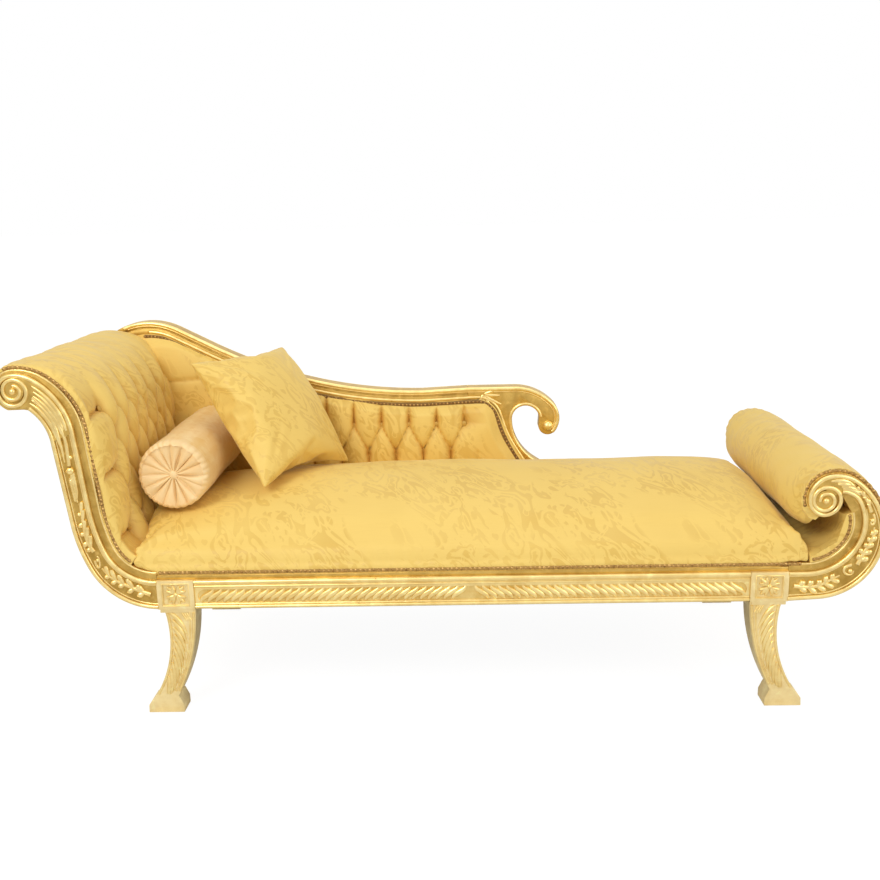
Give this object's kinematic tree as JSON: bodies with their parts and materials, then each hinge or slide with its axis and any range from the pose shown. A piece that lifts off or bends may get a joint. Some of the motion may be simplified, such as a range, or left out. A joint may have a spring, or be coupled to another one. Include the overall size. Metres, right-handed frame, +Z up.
{
  "type": "chaise longue",
  "caption": "Scroll-end chaise longue with carved gilt frame, tufted head and back, domed damask seat, rolled foot, bolster and scatter cushion.",
  "frame": {"origin": "on the floor under the middle of the whole object", "axes": "+Z up, +X from the head end to the foot end, -Y the open front, +Y the side with the back"},
  "size_m": [2.0164, 0.68, 0.8658],
  "materials": {
    "gilt_wood": "carved wood under bright gold leaf, burnished on the high parts",
    "damask": "tone-on-tone yellow gold silk damask with large foliage",
    "satin": "peach gold satin, gathered",
    "nail_bronze": "antique bronze nail heads",
    "raw_beech": "planed beech, unfinished",
    "board": "bent plywood",
    "jute": "woven jute webbing",
    "hessian": "open hessian",
    "black_lining": "black bottoming cloth",
    "felt": "pressed felt",
    "bolt_steel": "zinc plated"
  },
  "bodies": {
    "frame": {"back_buttons": "damask", "back_end_scroll": "gilt_wood", "back_hessian": "hessian", "back_nails": "nail_bronze", "back_outside_cover": "damask", "back_pad": "damask", "back_top_rail": "gilt_wood", "back_upright": "raw_beech", "block_rosettes": "gilt_wood", "corner_bolts": "bolt_steel", "corner_braces": "raw_beech", "crosswise_webbing": "jute", "dust_cover": "black_lining", "foot_cross_rail": "raw_beech", "foot_glides": "felt", "foot_inner_board": "board", "foot_lining": "damask", "foot_middle_rail": "raw_beech", "foot_nails": "nail_bronze", "foot_outside_cover": "damask", "foot_roll_board": "board", "foot_roll_core": "raw_beech", "foot_roll_pad": "damask", "frame_dowels": "raw_beech", "front_foot_leg": "gilt_wood", "front_foot_scroll": "gilt_wood", "front_head_leg": "gilt_wood", "front_head_scroll": "gilt_wood", "front_seat_rail": "gilt_wood", "front_tack_strip": "gilt_wood", "head_backing_board": "board", "head_buttons": "damask", "head_cross_rail": "raw_beech", "head_middle_rail": "raw_beech", "head_nails": "nail_bronze", "head_outside_cover": "damask", "head_pad": "damask", "head_roll_core": "raw_beech", "lengthwise_webbing": "jute", "rear_foot_leg": "gilt_wood", "rear_foot_nails": "nail_bronze", "rear_foot_scroll": "gilt_wood", "rear_head_leg": "gilt_wood", "rear_head_scroll": "gilt_wood", "rear_seat_nails": "nail_bronze", "rear_seat_rail": "gilt_wood", "rear_tack_strip": "gilt_wood", "seat_hessian": "hessian", "seat_nails": "nail_bronze", "seat_pad": "damask", "seat_stretchers": "raw_beech"},
    "bolster": {"bolster": "satin", "bolster_buttons": "satin"},
    "cushion": {"scatter_cushion": "damask"}
  },
  "joints": [
    {"name": "bolster_lift", "type": "slide", "parent": "frame", "child": "bolster", "axis": [0, 0, 1], "range_m": [0, 0.5]},
    {"name": "cushion_lift", "type": "slide", "parent": "bolster", "child": "cushion", "axis": [0, 0, 1], "range_m": [0, 0.4]}
  ]
}
